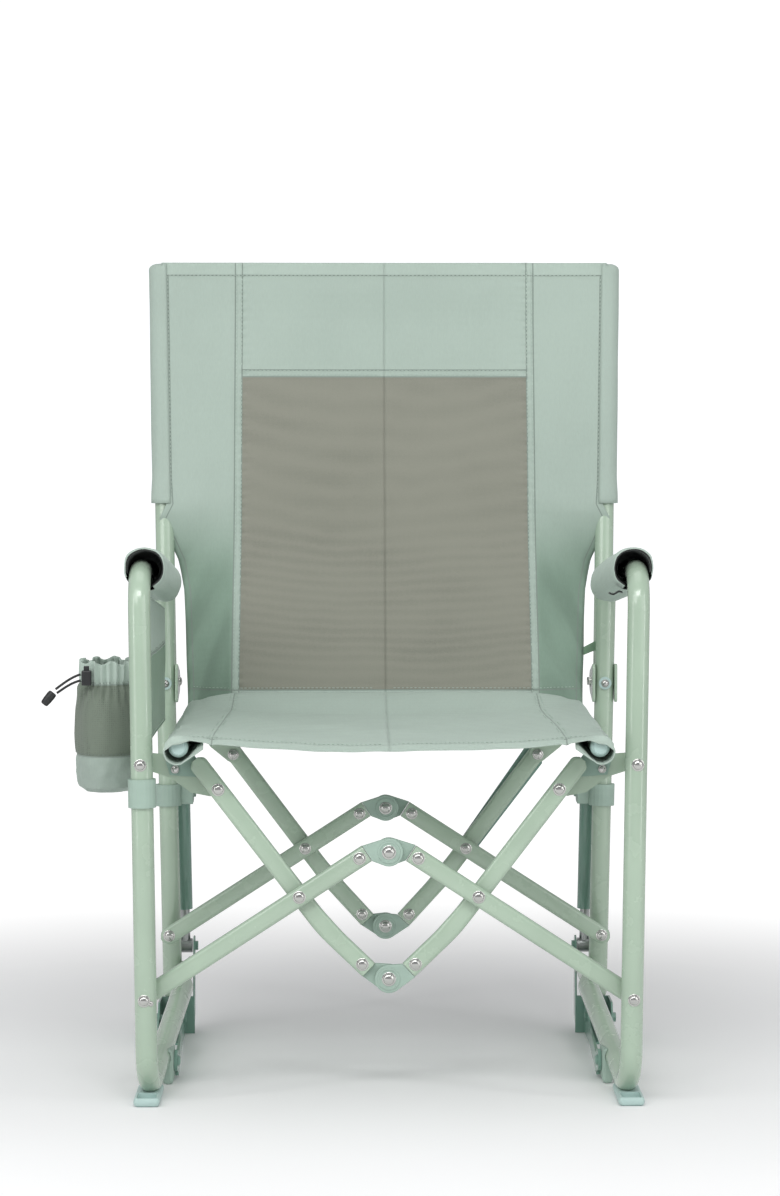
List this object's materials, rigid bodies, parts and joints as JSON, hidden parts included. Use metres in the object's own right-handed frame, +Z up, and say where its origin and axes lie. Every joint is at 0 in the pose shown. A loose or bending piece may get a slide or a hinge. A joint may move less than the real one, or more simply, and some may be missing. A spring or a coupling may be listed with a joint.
{
  "type": "folding camp rocking chair",
  "caption": "Folding camp rocking chair with sling seat and back, padded arms, scissor frame, sprung rear feet and an arm pouch with drawcord.",
  "frame": {"origin": "on the ground, at the middle of the chair's width and depth (cord strands left out)", "axes": "+Z up, +X towards the sitter's left arm, -Y the way the chair faces"},
  "size_m": [0.6979, 0.6032, 0.979],
  "materials": {
    "mint_paint": "gloss powder coat",
    "teal_paint": "satin powder coat",
    "mint_plastic": "satin moulded",
    "teal_plastic": "satin moulded",
    "steel": "bright",
    "mint_fabric": "woven polyester",
    "black_plastic": "moulded",
    "black_cord": "braided"
  },
  "bodies": {
    "left_frame": {"left_side_tube": "mint_paint", "left_rear_post": "mint_paint", "left_arm_pad": "mint_fabric", "left_foot_shoe": "mint_plastic", "left_runner_pad": "mint_plastic", "left_strut_collar": "mint_plastic", "left_back_bracket": "mint_paint", "pouch_bag": "mint_fabric", "pouch_panel": "mint_fabric", "pouch_clamp": "mint_plastic", "cord_lock": "black_plastic", "cord_strand_upper": "black_cord", "cord_strand_lower": "black_cord", "cord_knob": "black_plastic"},
    "front_lower_left": {"front_lower_bar_left": "mint_paint", "front_upper_hub_left": "mint_plastic"},
    "front_lower_right": {"front_lower_bar_right": "mint_paint", "front_upper_hub_right": "mint_plastic"},
    "right_frame": {"right_side_tube": "mint_paint", "right_rear_post": "mint_paint", "right_arm_pad": "mint_fabric", "right_foot_shoe": "mint_plastic", "right_runner_pad": "mint_plastic", "right_strut_collar": "mint_plastic", "right_back_bracket": "mint_paint"},
    "left_seat_side": {"front_upper_bar_left": "mint_paint", "front_lower_hub_left": "mint_plastic", "left_seat_rail": "mint_paint", "left_rail_cap": "mint_plastic", "left_seat_gusset": "teal_plastic", "left_rear_bracket": "mint_paint", "seat_fabric": "mint_fabric"},
    "right_seat_side": {"front_upper_bar_right": "mint_paint", "front_lower_hub_right": "mint_plastic", "right_seat_rail": "mint_paint", "right_rail_cap": "mint_plastic", "right_seat_gusset": "teal_plastic", "right_rear_bracket": "mint_paint"},
    "rear_lower_left": {"rear_lower_bar_left": "mint_paint", "rear_upper_hub_left": "mint_plastic"},
    "rear_lower_right": {"rear_lower_bar_right": "mint_paint", "rear_upper_hub_right": "mint_plastic"},
    "rear_upper_left": {"rear_upper_bar_left": "mint_paint", "rear_lower_hub_left": "mint_plastic"},
    "rear_upper_right": {"rear_upper_bar_right": "mint_paint", "rear_lower_hub_right": "mint_plastic", "rear_strap": "teal_paint"},
    "left_link": {"left_leg_link": "mint_paint"},
    "right_link": {"right_leg_link": "mint_paint"},
    "left_back": {"left_back_post": "mint_paint", "back_fabric": "mint_fabric"},
    "right_back": {"right_back_post": "mint_paint"},
    "left_rocker": {"left_floor_link": "teal_paint"},
    "right_rocker": {"right_floor_link": "teal_paint"},
    "left_strut": {"left_strut_tube": "teal_paint"},
    "right_strut": {"right_strut_tube": "teal_paint"},
    "left_rod": {"left_strut_rod": "steel"},
    "right_rod": {"right_strut_rod": "steel"},
    "lock_button": {"cord_button": "black_plastic"}
  },
  "joints": [
    {"name": "fold", "type": "hinge", "parent": "left_frame", "child": "front_lower_left", "pos_m": [-0.2478, -0.254, 0.1187], "axis": [0, -1, 0], "range_deg": [0, 45], "deforming": ["seat_fabric", "back_fabric"]},
    {"name": "front_hub", "type": "hinge", "parent": "front_lower_left", "child": "front_lower_right", "pos_m": [0.0263, -0.254, 0.2819], "axis": [0, -1, 0], "range_deg": [-90, 0]},
    {"name": "right_leg_pivot", "type": "hinge", "parent": "front_lower_right", "child": "right_frame", "pos_m": [0.3004, -0.254, 0.1187], "axis": [0, -1, 0], "range_deg": [0, 45]},
    {"name": "front_cross_left", "type": "hinge", "parent": "front_lower_left", "child": "left_seat_side", "pos_m": [-0.0747, -0.241, 0.2312], "axis": [0, -1, 0], "range_deg": [-76.95, 0]},
    {"name": "front_cross_right", "type": "hinge", "parent": "front_lower_right", "child": "right_seat_side", "pos_m": [0.1273, -0.241, 0.2312], "axis": [0, -1, 0], "range_deg": [0, 76.95]},
    {"name": "rear_post_pivot", "type": "hinge", "parent": "left_frame", "child": "rear_lower_left", "pos_m": [-0.2428, 0.1165, 0.1322], "axis": [0, -1, 0], "range_deg": [0, 45.87]},
    {"name": "rear_hub", "type": "hinge", "parent": "rear_lower_left", "child": "rear_lower_right", "pos_m": [0.0263, 0.1165, 0.2916], "axis": [0, -1, 0], "range_deg": [-91.74, 0]},
    {"name": "rear_cross_left", "type": "hinge", "parent": "rear_lower_left", "child": "rear_upper_left", "pos_m": [-0.0736, 0.1295, 0.241], "axis": [0, -1, 0], "range_deg": [-78.39, 0]},
    {"name": "rear_cross_right", "type": "hinge", "parent": "rear_lower_right", "child": "rear_upper_right", "pos_m": [0.1262, 0.1295, 0.241], "axis": [0, -1, 0], "range_deg": [0, 78.39]},
    {"name": "left_link_pivot", "type": "hinge", "parent": "left_frame", "child": "left_link", "pos_m": [-0.2512, -0.2745, 0.3828], "axis": [0, -1, 0], "range_deg": [0, 86.4]},
    {"name": "right_link_pivot", "type": "hinge", "parent": "right_frame", "child": "right_link", "pos_m": [0.3038, -0.2745, 0.3828], "axis": [0, -1, 0], "range_deg": [-86.4, 0]},
    {"name": "back_fold", "type": "hinge", "parent": "left_frame", "child": "left_back", "pos_m": [-0.24822, 0.18, 0.445], "axis": [-1, 0, 0], "range_deg": [0, 150]},
    {"name": "right_back_fold", "type": "hinge", "parent": "right_frame", "child": "right_back", "pos_m": [0.30082, 0.18, 0.445], "axis": [-1, 0, 0], "range_deg": [0, 150]},
    {"name": "left_rock", "type": "hinge", "parent": "left_frame", "child": "left_rocker", "pos_m": [-0.2203, -0.1395, 0.024], "axis": [1, 0, 0], "range_deg": [0, 5.5], "stiffness_Nm_per_rad": 300, "springref_deg": -2.86},
    {"name": "left_strut_swing", "type": "hinge", "parent": "left_frame", "child": "left_strut", "pos_m": [-0.2297, 0.1805, 0.304], "axis": [1, 0, 0], "range_deg": [-2.99, 0]},
    {"name": "left_strut_slide", "type": "slide", "parent": "left_strut", "child": "left_rod", "axis": [-0.0179, -0.0359, 0.9992], "range_m": [0, 0.0311]},
    {"name": "right_rock", "type": "hinge", "parent": "right_frame", "child": "right_rocker", "pos_m": [0.2729, -0.1395, 0.024], "axis": [1, 0, 0], "range_deg": [0, 5.5], "stiffness_Nm_per_rad": 300, "springref_deg": -2.86},
    {"name": "right_strut_swing", "type": "hinge", "parent": "right_frame", "child": "right_strut", "pos_m": [0.2823, 0.1805, 0.304], "axis": [1, 0, 0], "range_deg": [-2.99, 0]},
    {"name": "right_strut_slide", "type": "slide", "parent": "right_strut", "child": "right_rod", "axis": [0.0179, -0.0359, 0.9992], "range_m": [0, 0.0311]},
    {"name": "lock_button_press", "type": "slide", "parent": "left_frame", "child": "lock_button", "axis": [0, 0, -1], "range_m": [0, 0.003], "stiffness_N_per_m": 300, "springref_m": -0.002}
  ],
  "couplings": [
    {"joint": "front_hub", "follows": "fold", "ratio": -2},
    {"joint": "right_leg_pivot", "follows": "fold", "ratio": 1},
    {"joint": "front_cross_left", "follows": "fold", "ratio": -1.71},
    {"joint": "front_cross_right", "follows": "fold", "ratio": 1.71},
    {"joint": "rear_post_pivot", "follows": "fold", "ratio": 1.0193},
    {"joint": "rear_hub", "follows": "fold", "ratio": -2.0386},
    {"joint": "rear_cross_left", "follows": "fold", "ratio": -1.742},
    {"joint": "rear_cross_right", "follows": "fold", "ratio": 1.742},
    {"joint": "left_link_pivot", "follows": "fold", "ratio": 1.92},
    {"joint": "right_link_pivot", "follows": "fold", "ratio": -1.92},
    {"joint": "right_back_fold", "follows": "back_fold", "ratio": 1},
    {"joint": "left_strut_swing", "follows": "left_rock", "ratio": -0.5422},
    {"joint": "left_strut_slide", "follows": "left_rock", "m_per_rad": 0.3235},
    {"joint": "right_strut_swing", "follows": "right_rock", "ratio": -0.5422},
    {"joint": "right_strut_slide", "follows": "right_rock", "m_per_rad": 0.3235}
  ]
}
